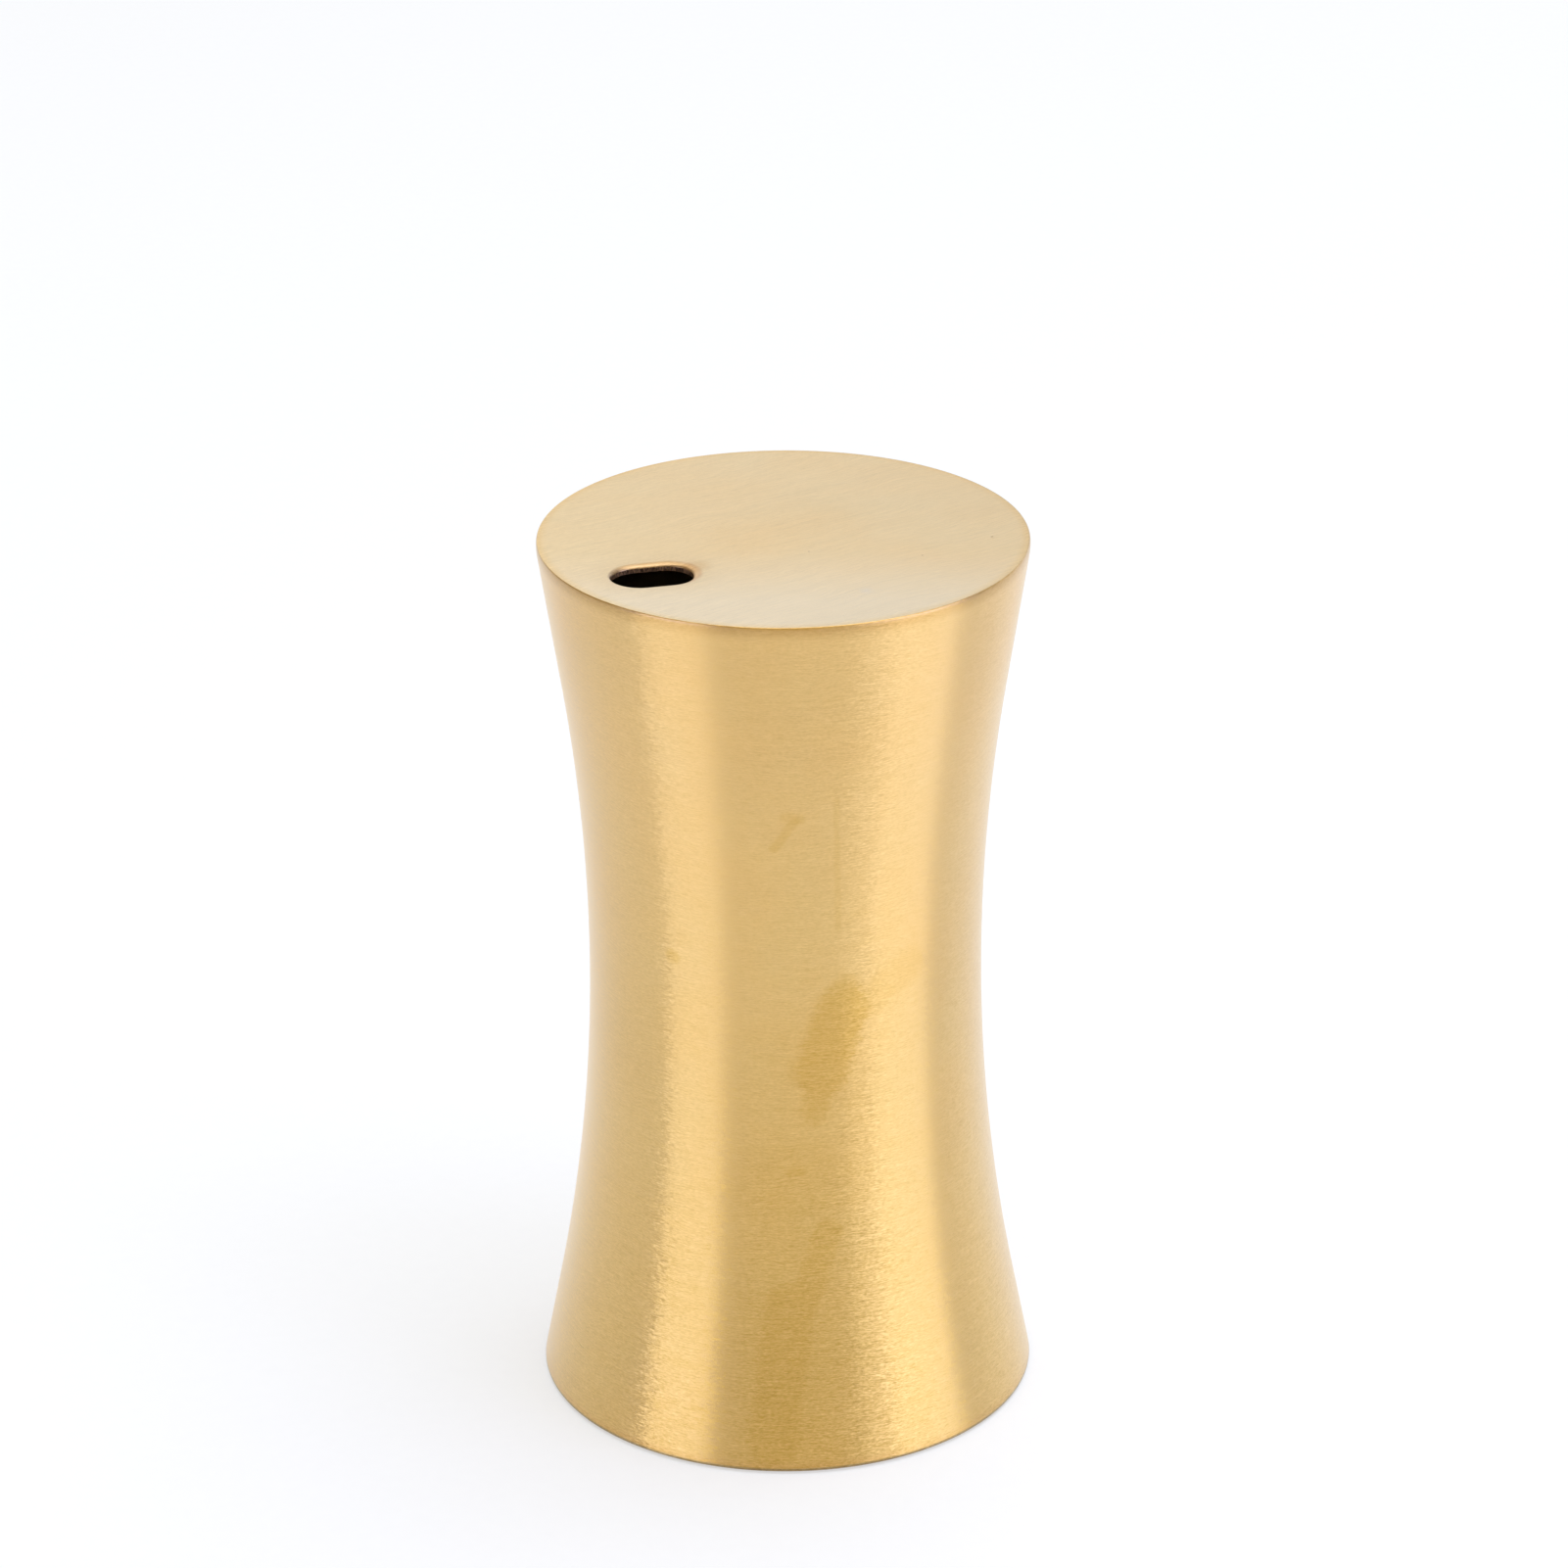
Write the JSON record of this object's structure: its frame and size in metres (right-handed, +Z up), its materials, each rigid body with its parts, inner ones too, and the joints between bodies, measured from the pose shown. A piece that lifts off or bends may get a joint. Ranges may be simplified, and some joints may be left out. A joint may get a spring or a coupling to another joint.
{
  "type": "toothpick dispenser",
  "caption": "Free-standing waisted metal toothpick dispenser with an oblong pick slot near the edge of its flat top and a screw-in refill base.",
  "frame": {"origin": "centre of the foot ring's underside, on the surface the dispenser stands on", "axes": "+Z up along the axis of the body, +X along the pick slot's long side, away from the slot's end of the top"},
  "size_m": [0.0466, 0.0466, 0.0842],
  "materials": {
    "brushed_gold": "fine brushed, satin",
    "moulded_black": "fine moulded grain",
    "seal_silicone": "smooth, milky",
    "foot_rubber": "matt, lightly textured"
  },
  "bodies": {
    "base": {"screw_base": "moulded_black", "foot_ring": "foot_rubber"},
    "seal": {"seal_ring": "seal_silicone"},
    "shell": {"body_shell": "brushed_gold", "top_plate": "brushed_gold", "thread_collar": "moulded_black"}
  },
  "joints": [
    {"name": "shell_turn", "type": "hinge", "parent": "base", "child": "seal", "pos_m": [0, 0, 0.003], "axis": [0, 0, 1], "range_deg": [0, 720]},
    {"name": "shell_rise", "type": "slide", "parent": "seal", "child": "shell", "axis": [0, 0, 1], "range_m": [0, 0.00605]}
  ],
  "couplings": [
    {"joint": "shell_rise", "follows": "shell_turn", "m_per_rad": 0.00047746}
  ]
}
